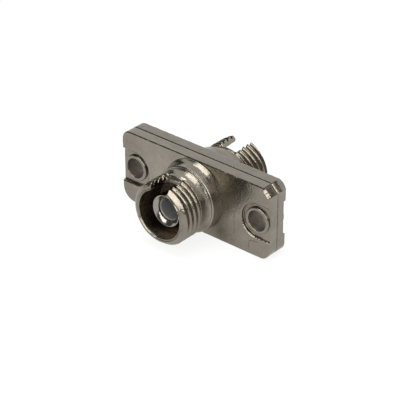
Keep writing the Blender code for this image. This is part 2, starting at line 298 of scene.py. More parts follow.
# Bump: (waves a metre, height in metres) layers, and the height of the cast grain in metres
BUMP_LAYERS = ((900.0, 0.000009), (3600.0, 0.000012), (9000.0, 0.000007))
GRAIN_RELIEF = 0.000042
DULL_ROUGH = 0.5

# Ceramic: waves a metre of its grinding marks, its (position, colour) stops and roughness; the stops
# are a grey darkened further as painted shade, for the sleeve deep in the bore
GRINDING = (2200.0, 120.0, 2200.0)
CERAMIC_TONES_AND_PAINTED_SHADE = ((0.0, (0.125, 0.123, 0.119)), (1.0, (0.155, 0.153, 0.148)))
CERAMIC_ROUGH = 0.35

# Painted light and shade on the plating, as (centre, radii, tone that multiplies the colour there):
# painted shade on the plate's lower right below the barrel, painted light on the plate's left part and
# on the barrel's right side, and a painted highlight on the thread left of the keyway
PAINTED_LIGHT_AND_SHADE = (((4.0, -1.5, -3.4), (3.4, 0.7, 3.2), (0.58, 0.55, 0.50)),
          ((-5.0, -1.5, 0.5), (5.5, 1.2, 6.0), (1.26, 1.26, 1.28)),
          ((4.2, -2.9, -1.2), (1.2, 2.0, 2.8), (1.5, 1.5, 1.5)),
          ((-1.7, -6.1, 3.5), (0.9, 1.7, 0.9), (1.7, 1.7, 1.7)))
# In the bore, painted shade darkens the lower left by the mouth, and painted light brightens the lower
# right and the left side
BORE_PAINTED_LIGHT_AND_SHADE = (((-1.9, -6.5, -2.4), (1.5, 1.7, 1.5), (0.15, 0.14, 0.13)),
               ((1.0, -6.1, -2.9), (1.9, 2.0, 1.6), (5.0, 4.7, 4.3)),
               ((-2.9, -6.6, 0.6), (1.2, 1.6, 1.5), (2.0, 1.9, 1.7)))

# Grainy and dull areas: (centre, radii)
CAST_GRAIN = (((4.4, -1.7, 1.6), (5.4, 1.6, 5.8)), ((2.7, -4.2, 3.0), (1.9, 2.2, 1.9)))
DULL = (((3.9, -3.6, -2.4), (2.0, 4.4, 4.4)),)

# Camera; angles in degrees, clipping in metres
AZIMUTH = 40.303
ELEVATION = 30.748
ROLL = 0.093
DISTANCE = 207.643
FOCAL_PIXELS = 1790.687
PICTURE = 400
OFFSET_RIGHT = 0.261
OFFSET_UP = 1.229
SENSOR = 36.0
CLIP_NEAR = 0.005
CLIP_FAR = 20.0

# Studio
WORLD_LIGHT = 0.75
FLOOR_HALF = 4000.0
FLOOR_GAP = 0.005
FLOOR_TONE = 0.86
FLOOR_WHITE_SHARE = 0.85
LAMP_COLOUR = (1.0, 0.985, 0.95)
SCREEN_TINT = (1.0, 0.93, 0.84)
SCREEN_ROWS = 13
SCREEN_COLUMNS = 49


# Mesh helpers

def new_object(name, verts, faces):
    """A mesh object from points in millimetres."""
    mesh = bpy.data.meshes.new(name)
    mesh.from_pydata((np.asarray(verts, float) * MM).tolist(), [], faces)
    mesh.validate()
    item = bpy.data.objects.new(name, mesh)
    bpy.context.scene.collection.objects.link(item)
    return item


def outward(item):
    """Point all the faces outward."""
    bm = bmesh.new()
    bm.from_mesh(item.data)
    bmesh.ops.recalc_face_normals(bm, faces=bm.faces)
    bm.to_mesh(item.data)
    bm.free()
    return item


def grid_faces(rows, columns, closed=False):
    """Quads between rows of points, each row a full turn."""
    faces = []
    for i in range(rows if closed else rows - 1):
        k = (i + 1) % rows
        for j in range(columns):
            m = (j + 1) % columns
            faces.append((i * columns + j, i * columns + m, k * columns + m, k * columns + j))
    return faces


def ring_stack(name, stack, capped=True):
    """A solid through rows of points; the end rows are capped, or joined to each other."""
    stack = np.asarray(stack)
    rows, columns = stack.shape[:2]
    faces = grid_faces(rows, columns, closed=not capped)
    if capped:
        faces.append(tuple(range(columns))[::-1])
        faces.append(tuple((rows - 1) * columns + j for j in range(columns)))
    return outward(new_object(name, stack.reshape(-1, 3), faces))


def arc(centre, radius, start, end, steps):
    """Points of an arc, both ends included; angles in degrees."""
    return [(centre[0] + radius * cos(radians(start + (end - start) * i / steps)),
             centre[1] + radius * sin(radians(start + (end - start) * i / steps)))
            for i in range(steps + 1)]


def turned_points(profile, angles):
    """Rows of points for (radius, reach) pairs; a radius may be an array over the angles."""
    ca, sa = np.cos(angles), np.sin(angles)
    rows = []
    for radius, reach in profile:
        radius = np.broadcast_to(radius, angles.shape)
        rows.append(np.stack([radius * ca, np.full_like(angles, -reach), radius * sa], -1))
    return np.array(rows)


def boolean(target, tool, operation):
    """Apply a Boolean and remove the tool."""
    modifier = target.modifiers.new("cut", "BOOLEAN")
    modifier.operation = operation
    modifier.solver = "MANIFOLD"
    modifier.object = tool
    graph = bpy.context.evaluated_depsgraph_get()
    mesh = bpy.data.meshes.new_from_object(target.evaluated_get(graph))
    target.modifiers.clear()
    target.data = mesh
    bpy.data.objects.remove(tool, do_unlink=True)


def smooth_shade(item, angle=TURNED_SHARP):
    """Smooth shading that keeps flat faces flat."""
    item.data.shade_smooth()
    item.data.set_sharp_from_angle(angle=radians(angle))
    weighted = item.modifiers.new("even_normals", "WEIGHTED_NORMAL")
    weighted.keep_sharp = True
    return item


def mark(item, name, values):
    """Store one number per vertex, which the material reads."""
    layer = item.data.attributes.new(name, "FLOAT", "POINT")
    layer.data.foreach_set("value", np.ascontiguousarray(values, dtype=np.float32))


def vertex_places(item):
    """The x, reach and z of all the vertices."""
    places = np.empty(len(item.data.vertices) * 3)
    item.data.vertices.foreach_get("co", places)
    places = places.reshape(-1, 3) / MM
    return places[:, 0], -places[:, 1], places[:, 2]


def wobble(points, scale, seed):
    """Smooth pseudo-random values about 0 at the points, from a fixed set of waves."""
    rng = np.random.default_rng(seed)
    count = 14
    total = np.zeros(points.shape[:-1])
    for _ in range(count):
        wave = rng.normal(size=3)
        wave *= 2 * pi / scale * rng.uniform(0.6, 1.7) / np.linalg.norm(wave)
        total += np.sin(points @ wave + rng.uniform(0, 2 * pi))
    return total / sqrt(count)


def wavered(value, points, waves, seed):
    """A value plus one wobble for each (size, scale) pair."""
    for i, (size, scale) in enumerate(waves):
        value = value + size * wobble(points, scale, seed + i)
    return value


def smoothstep(a, b, x):
    """0 up to a, 1 from b on, and smooth between them; a may lie beyond b."""
    t = np.clip((x - a) / (b - a), 0, 1)
    return t * t * (3 - 2 * t)


# Barrel

def slot_distance(x, reach):
    """Distance outside the keyway's plan; below 0 inside it."""
    half = KEYWAY_HALF - KEYWAY_CORNER
    dx = np.abs(x) - half
    dy = KEYWAY_END + KEYWAY_CORNER - reach
    outside = np.hypot(np.maximum(dx, 0), np.maximum(dy, 0)) - KEYWAY_CORNER
    inside = np.maximum(dx, dy) - KEYWAY_CORNER
    return np.where((dx > 0) & (dy > 0), outside, inside)


def roll_off(distance, radius):
    """How far a surface has dropped at a distance from the edge that it rounds into."""
    start = ROLL_START * radius
    t = np.clip(distance, start, radius)
    drop = radius - np.sqrt(radius ** 2 - (radius - t) ** 2)
    return drop + np.where(distance < start, (start - distance) * ROLL_SLOPE, 0.0)


def thread_shape(angle, reach):
    """Height of the thread's section, 0 at the root and 1 at the crest, with softened corners."""
    flank = (CREST_HALF, CREST_HALF + CREST_BEVEL, 0.5 - ROOT_HALF)
    total = 0.0
    for shift in THREAD_BLUR:
        turns = (reach - CREST_AT_SIDE) / PITCH - angle / (2 * pi) + shift
        away = np.abs(turns - np.round(turns))
        total = total + np.interp(away, flank, (1.0, 1 - CREST_DROP, 0.0))
    return total / len(THREAD_BLUR)


def barrel_radius(angle, reach):
    """The outer radius over the thread, from the neck to the rim."""
    root = NECK + (ROOT - NECK) * smoothstep(*ROOT_RUNS_OUT, reach)
    crest = NECK + (CREST - NECK) * smoothstep(*CREST_RUNS_OUT, reach)
    radius = root + (crest - root) * thread_shape(angle, reach)
    wear = np.exp(-((np.degrees(angle) - LEAD_WEAR_ANGLE) / LEAD_WEAR_SPREAD) ** 2)
    rim = RIM - LEAD_WEAR * wear
    lead = rim + (BARREL_REACH - reach) * (CREST - RIM) / LEAD_LENGTH
    return np.minimum(radius, lead)


def barrel_angles():
    """Angles round the barrel, closer together where the keyway's edges run."""
    angles = []
    a = 0.0
    while a < 360.0 - LAST_STEP:
        angles.append(a)
        a += FINE_STEP if any(low <= a < high for low, high in FINE_ANGLES) else COARSE_STEP
    return np.radians(angles)


def foot_width(angles):
    """How far the boss's foot spreads over the plate."""
    turn = np.degrees(angles)
    top = smoothstep(*FOOT_WIDENS, turn) - smoothstep(*FOOT_NARROWS, turn)
    return (FOOT_RING - BOSS) * (FOOT_LOW + (1 - FOOT_LOW) * top)


def stem_profile(angles):
    """(radius, reach) pairs of the foot, boss, shoulder, neck, thread and rim."""
    width = foot_width(angles)
    ring = BOSS + width
    face = THICKNESS + FOOT_STEP
    profile = [(ring, THICKNESS / 2), (ring, THICKNESS), (ring - FOOT_CORNER, face)]
    profile += [(BOSS + width * (1 - t) ** FOOT_HOLLOW, face + FOOT_RISE * t)
                for t in np.linspace(FOOT_START, 1, 12)]
    start = face + FOOT_RISE
    end = SHOULDER_REACH - SHOULDER_EDGE
    profile += [(BOSS + (SHOULDER - BOSS) * t, start + (end - start) * t)
                for t in (i / 9 for i in range(1, 9))]
    profile += [(SHOULDER - SHOULDER_EDGE + SHOULDER_EDGE * out, end + SHOULDER_EDGE * up)
                for out, up in SHOULDER_SECTION]
    neck_start = SHOULDER_REACH + SHOULDER_FILLET
    profile += arc((NECK + NECK_SWEEP + SHOULDER_FILLET, neck_start), SHOULDER_FILLET, 270, 195, 5)
    for reach in np.arange(neck_start + NECK_STEP / 2, NECK_END, NECK_STEP):
        left = max(0.0, 1 - (reach - SHOULDER_REACH) / NECK_SWEEP_LENGTH)
        profile.append((NECK + NECK_SWEEP * left ** 2, reach))
    profile += [(barrel_radius(angles, reach), reach)
                for reach in np.arange(NECK_END, BARREL_REACH - RIM_EDGE, THREAD_STEP)]
    rim_centre = (RIM - RIM_EDGE * RIM_EDGE_INSET, BARREL_REACH - RIM_EDGE - RIM_SECTION[0][1])
    profile += [(np.minimum(radius, barrel_radius(angles, reach)), reach)
                for radius, reach in arc(rim_centre, RIM_EDGE, 25, 90, 4)]
    return profile + [(radius, BARREL_REACH - depth) for radius, depth in RIM_SECTION]


def slot_drop(x, reach, z, edge):
    """How far the outer surface drops at the keyway: its rolled edges and its bevelled end."""
    distance = slot_distance(x, reach)
    rolled = (z > 0) & (reach > SLOT_ROLL_FROM)
    drop = np.where(rolled, roll_off(distance, edge) * (distance < edge), 0.0)
    fades = [KEYWAY_HALF + fade for fade in END_BEVEL_FADES]
    across = smoothstep(*fades, np.abs(x + END_BEVEL_SHIFT)) * (z > 0)
    along = np.clip((reach - KEYWAY_END + END_BEVEL_START) / END_BEVEL_LENGTH, 0, 1)
    along = along * (reach < KEYWAY_END + END_BEVEL_STOP)
    return drop + END_BEVEL * across * along


def make_stem(turned, seed):
    """The solid boss, shoulder, neck and thread, filled inside."""
    edge = REAR_SLOT_EDGE if turned else SLOT_EDGE
    burr = 0.0 if turned else SLOT_BURR
    thread_dents = DENTS if turned else THREAD_DENTS
    angles = barrel_angles()
    rows = turned_points(stem_profile(angles), angles)
    x, reach, z = rows[..., 0], -rows[..., 1], rows[..., 2]
    radius = np.hypot(x, z)
    near_slot = np.clip(1 - np.abs(slot_distance(x, reach) - BURR_MIDDLE) / BURR_SPREAD, 0, 1)
    burrs = burr * near_slot * ((z > 0) & (reach > BURR_FROM) & (x < 0))
    dents = DENTS + (thread_dents - DENTS) * smoothstep(*THREAD_DENTS_FROM, reach)
    waves = (*STEM_WAVES, (dents, DENT_SCALE), (burrs, BURR_SCALE))
    drop = slot_drop(x, reach, z, edge) + wavered(0.0, rows, waves, seed)
    factor = np.where((radius > OUTER_WALL) & (reach >= PLAIN_BELOW), (radius - drop) / radius, 1.0)
    rows[..., 0] *= factor
    rows[..., 2] *= factor
    return ring_stack("stem", rows)


def make_bore(seed):
    """The cutter of the bore, the holder's hole and its seat."""
    angles = barrel_angles()
    hole = HOLDER + FIT_GAP
    seat = HOLDER_FLANGE + FIT_GAP
    seat_reach = HOLDER_FLANGE_REACH + FIT_GAP
    floor = BORE_FLOOR_REACH + BORE_FILLET
    profile = [(seat, -OVERCUT), (seat, seat_reach), (hole, seat_reach), (hole, BORE_FLOOR_REACH)]
    profile += arc((BORE_FLOOR - BORE_FILLET, floor), BORE_FILLET, 270, 360, 4)
    profile += [(BORE_FLOOR + (BORE_MOUTH - BORE_FLOOR) * t,
                 floor + (BARREL_REACH - BORE_LIP - BORE_FLOOR_REACH - BORE_FILLET) * t)
                for t in (i / BORE_ROWS for i in range(1, BORE_ROWS))]
    mouth = (BORE_MOUTH + BORE_MOUTH_EDGE, BARREL_REACH - BORE_MOUTH_EDGE)
    profile += arc(mouth, BORE_MOUTH_EDGE, 180, 120, 4)
    profile.append((BORE_MOUTH + BORE_MOUTH_FLARE, BARREL_REACH + BORE_MOUTH_OVERCUT))
    rows = turned_points(profile, angles)
    x, reach, z = rows[..., 0], -rows[..., 1], rows[..., 2]
    radius = np.hypot(x, z)
    distance = slot_distance(x, reach)
    at_slot = (z > 0) & (reach > SLOT_ROLL_FROM) & (distance < INNER_SLOT_EDGE)
    rise = np.where(at_slot, roll_off(distance, INNER_SLOT_EDGE), 0.0)
    inside = (reach > BORE_FLOOR_REACH + BORE_WAVES_START) & (reach < BARREL_REACH)
    rise += np.where(inside, wavered(0.0, rows, BORE_WAVES, seed), 0)
    factor = (radius + rise) / radius
    rows[..., 0] *= factor
    rows[..., 2] *= factor
    return ring_stack("bore", rows)


def make_keyway():
    """The cutter of the keyway."""
    corner_x = KEYWAY_HALF - KEYWAY_CORNER
    corner_reach = KEYWAY_END + KEYWAY_CORNER
    plan = arc((corner_x, corner_reach), KEYWAY_CORNER, 0, -90, 10)
    plan += arc((-corner_x, corner_reach), KEYWAY_CORNER, -90, -180, 10)
    plan += [(-KEYWAY_HALF, BARREL_REACH + OVERCUT), (KEYWAY_HALF, BARREL_REACH + OVERCUT)]
    return ring_stack("keyway", [[(x, -reach, z) for x, reach in plan] for z in KEYWAY_HEIGHTS])


# Flange plate

def flange_outline(turned):
    """The flange's (x, z) outline, from its upper right corner round by the upper left one."""
    hl, hh = FLANGE_LENGTH / 2, FLANGE_HEIGHT / 2
    corners = [(TOP_RIGHT_CHAMFER, 1), (TOP_LEFT_RADIUS, 12), (BOTTOM_LEFT_RADIUS, 14),
               (BOTTOM_RIGHT_RADIUS, 12)]
    if turned:
        corners = [corners[1], corners[0], corners[3], corners[2]]
    points = []
    for quarter, (radius, steps) in enumerate(corners):
        side_x = 1 if quarter in (0, 3) else -1
        side_z = 1 if quarter in (0, 1) else -1
        centre = (side_x * (hl - radius), side_z * (hh - radius))
        points += arc(centre, radius, quarter * 90, quarter * 90 + 90, steps)
    return points


def spread(points, step):
    """Add points along the long sides of a closed outline."""
    out = []
    for (x0, z0), (x1, z1) in zip(points, points[1:] + points[:1]):
        count = max(1, round(sqrt((x1 - x0) ** 2 + (z1 - z0) ** 2) / step))
        out += [(x0 + (x1 - x0) * i / count, z0 + (z1 - z0) * i / count) for i in range(count)]
    return out


def outline_normals(base):
    """The outward direction at each point of a closed outline."""
    along = np.roll(base, -1, 0) - np.roll(base, 1, 0)
    normals = np.stack([along[:, 1], -along[:, 0]], -1)
    return normals / np.linalg.norm(normals, axis=1, keepdims=True)


def trimmed_corner(base, normals, hand):
    """Two arrays over the outline: 1 on the trimmed corner and 0 away from it, and the bulge."""
    off_diagonal = np.hypot(normals[:, 0] * hand - DIAGONAL, normals[:, 1] - DIAGONAL)
    middle = np.array([hand * (FLANGE_LENGTH / 2 - TOP_RIGHT_CHAMFER / 2),
                       FLANGE_HEIGHT / 2 - TOP_RIGHT_CHAMFER / 2])
    off_middle = np.hypot(*(base - middle).T) / (TOP_RIGHT_CHAMFER / sqrt(2))
    corner = np.clip(CORNER_FULL - CORNER_FADE * off_diagonal, 0, 1)
    return corner, CORNER_BULGE * np.clip(1 - off_middle ** 2, 0, 1)


def plate_edge(base, normals, corner, turned, seed):
    """Arrays over the outline: how flat the face's edge is, its bevel and its rounding."""
    at_face = np.stack([base[:, 0], np.full(len(base), -THICKNESS), base[:, 1]], -1)
    rounding = wavered(FACE_EDGE, at_face, FACE_EDGE_WAVES, seed + 6)
    rounding = np.clip(rounding, *FACE_EDGE_RANGE)
    if turned:
        return np.zeros(len(base)), np.zeros(len(base)), rounding
    # the top edge is broken by a flat bevel of uneven width, apart from a few nicks
    flat = np.clip(normals[:, 1] * TOP_EDGE_SLOPE - TOP_EDGE_START, 0, 1)
    for nick in TOP_EDGE_NICKS:
        flat *= 1 - np.exp(-((base[:, 0] - nick) / NICK_WIDTH) ** 2)
    bevel = wavered(TOP_EDGE, at_face, TOP_EDGE_WAVES, seed + 4)
    bevel = bevel + corner * wavered(CORNER_BEVEL, at_face, CORNER_WAVES, seed + 7)
    return np.maximum(flat, corner), np.clip(bevel, *TOP_EDGE_RANGE), rounding


def make_plate(turned, seed):
    """The flange plate: a groove at the parting plane, and edges that waver a little, as cast."""
    base = np.array(spread(flange_outline(turned), OUTLINE_STEP))
    normals = outline_normals(base)
    corner, bulge = trimmed_corner(base, normals, -1 if turned else 1)
    bulge = bulge if turned else np.zeros(len(base))
    flat, bevel, rounding = plate_edge(base, normals, corner, turned, seed)
    step = GROOVE_STEP + GROOVE_STEP_AT_CORNER * corner
    groove = GROOVE_DEPTH * (1 - GROOVE_END_LOSS * np.abs(normals[:, 0]) * (1 - corner))
    # (inset, reach) pairs from the parting plane, up the side and round the edge to the face
    inward, upward = GROOVE_ROUNDING
    sections = [(groove, PARTING_GAP), (groove, GROOVE_HALF), (step, GROOVE_HALF + GROOVE_LIP),
                (step * inward, GROOVE_HALF + step * upward), (0.0, GROOVE_HALF + GROOVE_RUN + step)]
    sections += [(-bulge * smoothstep(*BULGE_RISES, reach), reach) for reach in SIDE_REACHES]
    for k in range(EDGE_STEPS + 1):
        a = radians(90 / EDGE_STEPS * k)
        inset = flat * bevel * k / EDGE_STEPS + (1 - flat) * rounding * (1 - cos(a)) - bulge
        below = flat * bevel * (1 - k / EDGE_STEPS)
        sections.append((inset, THICKNESS - below - (1 - flat) * rounding * (1 - sin(a))))
    rows = np.array([np.stack([base[:, 0] - normals[:, 0] * inset,
                               -np.broadcast_to(reach, (len(base),)),
                               base[:, 1] - normals[:, 1] * inset], -1) for inset, reach in sections])
    shake = wavered(0.0, rows, OUTLINE_WAVES, seed)
    shake = shake + corner * CORNER_SHAKE * wobble(rows, CORNER_SHAKE_SCALE, seed + 8)
    shake = np.clip(shake, -OUTLINE_IN, OUTLINE_OUT) - OUTLINE_OUT
    shake[:2] = 0
    rows[..., 0] += normals[None, :, 0] * shake
    rows[..., 2] += normals[None, :, 1] * shake
    return ring_stack("plate", rows)


def make_pocket(side, seed):
    """The cutter of a rivet pocket, with a rounded top edge and a small fillet at its floor."""
    floor = THICKNESS - POCKET_DEPTH
    levels = [(-POCKET_FLOOR_INSET, floor)]
    levels += [(-inset, reach) for inset, reach in
               arc((POCKET_FILLET, floor + POCKET_FILLET), POCKET_FILLET, 250, 180, 4)]
    levels += [(POCKET_EDGE * (1 - cos(radians(a))), THICKNESS - POCKET_EDGE * (1 - sin(radians(a))))
               for a in POCKET_EDGE_ANGLES]
    levels.append((POCKET_FLARE, THICKNESS + POCKET_FLARE_HEIGHT))
    xs = np.linspace(FLANGE_LENGTH / 2 + POCKET_OVERCUT, RIVET_X, 18)[:-1]
    rows = []
    for grow, reach in levels:
        radius = POCKET_RADIUS + grow
        plan = [(x, radius) for x in xs] + arc((RIVET_X, 0), radius, 90, 270, 48)
        plan += [(x, -radius) for x in xs[::-1]]
        rows.append([(side * x, -reach, z) for x, z in plan])
    rows = np.array(rows)
    # the wall is crinkled from a little above the floor, more so along the lower side
    above = np.clip([(reach - floor) / POCKET_CRINKLE_FADE for _, reach in levels], 0, 1)
    low = np.clip(-rows[..., 2] / POCKET_RADIUS * POCKET_LOW_SLOPE - POCKET_LOW_START, 0, 1)
    crinkle = above[:, None] * (POCKET_CRINKLE + POCKET_LOW_CRINKLE * low)
    crinkle = crinkle * wobble(rows * POCKET_CRINKLE_STRETCH, POCKET_CRINKLE_SCALE, seed)
    rows[..., 2] += crinkle * np.sign(rows[..., 2])
    if side > 0:
        rise = smoothstep(RIVET_X - POCKET_RISE_HALF, RIVET_X + POCKET_RISE_HALF, rows[..., 0])
        rise = rise * smoothstep(*POCKET_RISE_BELOW, -rows[..., 2])
        rows[..., 1] -= POCKET_RISE * rise * (rows[..., 1] > POCKET_EDGE - THICKNESS)
    return ring_stack("pocket", rows)


def make_scribe(points):
    """The cutter of a fine casting line on the plate's face, through (x, z) points."""
    points = [Vector(p) for p in points]
    top = -THICKNESS - SCRIBE_OVERCUT
    rows = []
    for i, p in enumerate(points):
        ahead = points[min(i + 1, len(points) - 1)] - points[max(i - 1, 0)]
        across = Vector((-ahead.y, ahead.x)).normalized() * SCRIBE_WIDTH / 2
        rows.append([(p.x - across.x, top, p.y - across.y), (p.x, SCRIBE_DEPTH - THICKNESS, p.y),
                     (p.x + across.x, top, p.y + across.y)])
    return ring_stack("scribe", rows)


def make_hole(side):
    """The cutter of a rivet's hole."""
    radius = RIVET_SHANK + FIT_GAP
    angles = np.radians(np.arange(0, 360, 5.0))
    rows = turned_points([(radius, -OVERCUT), (radius, THICKNESS + OVERCUT)], angles)
    rows[..., 0] += side * RIVET_X
    return ring_stack("hole", rows)


def bore_wall(x, reach, z):
    """True where a vertex lies on the bore's wall, its floor or the holder's hole."""
    slope = (BORE_MOUTH - BORE_FLOOR) * (reach - BORE_FLOOR_REACH) / (BARREL_REACH - BORE_FLOOR_REACH)
    near = np.hypot(x, z) < BORE_FLOOR + slope + WALL_MARGIN
    return near & (reach > WALL_START) & (reach < BARREL_REACH - BORE_LIP)


def make_housing(name, turned, seed):
    """One cast half; the rear one is turned about the vertical."""
    housing = make_plate(turned, seed)
    boolean(housing, make_stem(turned, seed + 10), "UNION")
    boolean(housing, make_bore(seed + 20), "DIFFERENCE")
    boolean(housing, make_keyway(), "DIFFERENCE")
    for side in (-1, 1):
        boolean(housing, make_pocket(side, seed + 30 + side), "DIFFERENCE")
        boolean(housing, make_hole(side), "DIFFERENCE")
    for points in SCRIBES:
        boolean(housing, make_scribe(points), "DIFFERENCE")
    mark(housing, "inside", bore_wall(*vertex_places(housing)))
    if turned:
        housing.data.transform(Matrix.Diagonal((-1, -1, 1, 1)))
    housing.name = name
    housing.data.name = name
    return smooth_shade(housing, CAST_SHARP)


# Turned pieces and the sleeve

def lathe(name, profile, centre_x=0.0, turned=False):
    """A closed ring turned about the optical axis or a line beside it."""
    angles = np.radians(np.arange(LATHE_STEPS) * 360.0 / LATHE_STEPS)
    rows = turned_points(profile, angles)
    rows[..., 0] += centre_x
    if turned:
        rows[..., :2] *= -1
    return ring_stack(name, rows, capped=False)


def make_holder(name, turned):
    """The turned tube with its flange, its funnel mouth and the lip that keeps the sleeve in."""
    bore = SLEEVE_OUTER + FIT_GAP
    profile = [(bore, PARTING_GAP), (HOLDER_FLANGE, PARTING_GAP), (HOLDER_FLANGE, HOLDER_FLANGE_REACH),
               (HOLDER, HOLDER_FLANGE_REACH)]
    profile += [(HOLDER, reach) for reach in HOLDER_ROWS]
    profile += arc((HOLDER - HOLDER_EDGE, HOLDER_REACH - HOLDER_EDGE), HOLDER_EDGE, 0, 90, 6)
    profile += HOLDER_MOUTH
    lip = HOLDER_REACH - HOLDER_LIP_LENGTH
    profile += [(HOLDER_LIP, lip), (bore, lip), (bore, HOLDER_ROWS[0])]
    return smooth_shade(lathe(name, profile, turned=turned))


def make_sleeve():
    """The split ceramic tube, its bore chamfered at both ends."""
    chamfer = SLEEVE_HALF - SLEEVE_EDGE
    mouth = SLEEVE_BORE + SLEEVE_EDGE
    rows = []
    for inner, reach in ((mouth, -SLEEVE_HALF), (SLEEVE_BORE, -chamfer), (SLEEVE_BORE, 0.0),
                         (SLEEVE_BORE, chamfer), (mouth, SLEEVE_HALF)):
        section = []
        for radius, order in ((SLEEVE_OUTER, 1), (inner, -1)):
            gap = degrees(asin(SLEEVE_SLIT / 2 / radius))
            section += arc((0, 0), radius, 90 + gap, 90 + 360 - gap, SLEEVE_STEPS)[::order]
        rows.append([(x, -reach, z) for x, z in section])
    return smooth_shade(ring_stack("ceramic_sleeve", rows))


def make_rivet(name, side):
    """The hollow rivet, its front head flat and its rear head rolled."""
    seat = THICKNESS - POCKET_DEPTH + FIT_GAP
    front, rear = RIVET_FRONT_EDGE, RIVET_REAR_EDGE
    mouth, rear_mouth = RIVET_MOUTH_EDGE, RIVET_REAR_MOUTH
    profile = [(RIVET_SHANK, seat), (RIVET_FRONT_HEAD, seat)]
    profile += arc((RIVET_FRONT_HEAD - front, RIVET_TOP - front), front, 0, 90, 8)
    profile += [(RIVET_BORE + mouth, RIVET_TOP)]
    profile += arc((RIVET_BORE + mouth, RIVET_TOP - mouth), mouth, 100, 180, 5)
    profile += [(RIVET_BORE, RIVET_MIDDLE), (RIVET_BORE, -RIVET_MIDDLE)]
    profile += [(RIVET_BORE, rear_mouth - RIVET_TOP)]
    profile += arc((RIVET_BORE + rear_mouth, rear_mouth - RIVET_TOP), rear_mouth, 200, 270, 4)
    profile += arc((RIVET_REAR_HEAD - rear, rear - RIVET_TOP), rear, 270, 360, 6)
    profile += [(RIVET_REAR_HEAD, -seat), (RIVET_SHANK, -seat)]
    rivet = lathe(name, profile, centre_x=side * RIVET_X)
    x, _, z = vertex_places(rivet)
    mark(rivet, "inside", np.hypot(x - side * RIVET_X, z) < RIVET_BORE + RIVET_WALL_MARGIN)
    return smooth_shade(rivet)


# Materials

def nodes_for(name):
    """A new material with its node tree and its Principled shader."""
    material = bpy.data.materials.new(name)
    material.use_nodes = True
    tree = material.node_tree
    return material, tree, tree.nodes["Principled BSDF"]


def add(tree, kind, inputs=None, **settings):
    """A new node; each input takes a plain value, or a link where it is given a socket."""
    node = tree.nodes.new(kind)
    for key, value in settings.items():
        setattr(node, key, value)
    for key, source in (inputs or {}).items():
        if isinstance(source, bpy.types.NodeSocket):
            tree.links.new(source, node.inputs[key])
        else:
            node.inputs[key].default_value = source
    return node


def noise(tree, place, scale, detail, roughness=0.5):
    """A noise texture over the given coordinates; the scale is in waves a unit of them."""
    inputs = {"Vector": place, "Scale": scale, "Detail": detail, "Roughness": roughness}
    return add(tree, "ShaderNodeTexNoise", inputs).outputs["Fac"]


def ramp(tree, value, stops):
    """Colours over a value: (position, colour) pairs."""
    node = add(tree, "ShaderNodeValToRGB", {"Fac": value})
    while len(node.color_ramp.elements) < len(stops):
        node.color_ramp.elements.new(0.5)
    for element, (position, colour) in zip(node.color_ramp.elements, stops):
        element.position = position
        element.color = (*colour, 1)
    return node.outputs["Color"]


def remap(tree, value, start, end, low, high):
    """A value's range from start to end, stretched to run from low to high."""
    inputs = {"Value": value, "From Min": start, "From Max": end, "To Min": low, "To Max": high}
    return add(tree, "ShaderNodeMapRange", inputs).outputs["Result"]


def blend_colour(tree, factor, first, second, mode="MIX"):
    """Two colours mixed; a Mix node's colour sockets are 6 and 7, and 2 on its output side."""
    inputs = {0: factor, 6: first, 7: second}
    return add(tree, "ShaderNodeMix", inputs, data_type="RGBA", blend_type=mode).outputs[2]


def blend_number(tree, factor, first, second):
    """Two numbers mixed; a Mix node's number sockets are 2 and 3, and 0 on its output side."""
    inputs = {0: factor, 2: first, 3: second}
    return add(tree, "ShaderNodeMix", inputs, data_type="FLOAT").outputs[0]


def tint(tree, colour, factor, tone):
    """A colour multiplied by a tone, as far as the factor says."""
    toned = blend_colour(tree, 1.0, colour, (*tone, 1), "MULTIPLY")
    return blend_colour(tree, factor, colour, toned)


def multiply(tree, first, second):
    """The product of two values, kept between 0 and 1."""
    node = add(tree, "ShaderNodeMath", {0: first, 1: second}, operation="MULTIPLY", use_clamp=True)
    return node.outputs[0]


def bumps(tree, layers):
    """Bump layers on each other: (height, distance in metres, strength) each."""
    normal = None
    for height, distance, strength in layers:
        inputs = {"Height": height, "Distance": distance, "Strength": strength}
        if normal is not None:
            inputs["Normal"] = normal
        normal = add(tree, "ShaderNodeBump", inputs).outputs["Normal"]
    return normal


def area_mask(tree, place, centre, radii):
    """1 at a point of the object and falling to 0 over the three radii, all in millimetres."""
    inputs = {"Vector": place, "Scale": [1 / (r * MM) for r in radii],
              "Location": [-c / r for c, r in zip(centre, radii)]}
    mapped = add(tree, "ShaderNodeMapping", inputs).outputs["Vector"]
    ball = add(tree, "ShaderNodeTexGradient", {"Vector": mapped}, gradient_type="SPHERICAL")
    return ball.outputs["Fac"]


def plating(tree, place, dark, light, painted_light_and_shade):
    """The colour of the plated surface: patches, speckle, and painted light and shade over given
    areas.
    """
    colour = ramp(tree, noise(tree, place, *PATCHES), list(zip(PATCH_STOPS, (dark, light))))
    speckle = ramp(tree, noise(tree, place, *SPECKLE), SPECKLE_TONES)
    colour = blend_colour(tree, 1.0, colour, speckle, "MULTIPLY")
    for centre, radii, tone in painted_light_and_shade:
        mottle = remap(tree, noise(tree, place, *MOTTLE), *MOTTLE_RANGE)
        area = multiply(tree, area_mask(tree, place, centre, radii), mottle)
        colour = tint(tree, colour, area, tone)
    return colour


def inside_colour_and_painted_light(tree, place, tone, share, painted_light_and_shade):
    """The colour of the rough inside: a tone that varies by a share of itself, and painted light and
    shade over given areas.
    """
    darker = tuple((1 - share) * c for c in tone)
    lighter = tuple((1 + share) * c for c in tone)
    stops = list(zip(CASTING_STOPS, (darker, tone, lighter)))
    colour = ramp(tree, noise(tree, place, *CASTING), stops)
    for centre, radii, painted_tone in painted_light_and_shade:
        colour = tint(tree, colour, area_mask(tree, place, centre, radii), painted_tone)
    return colour


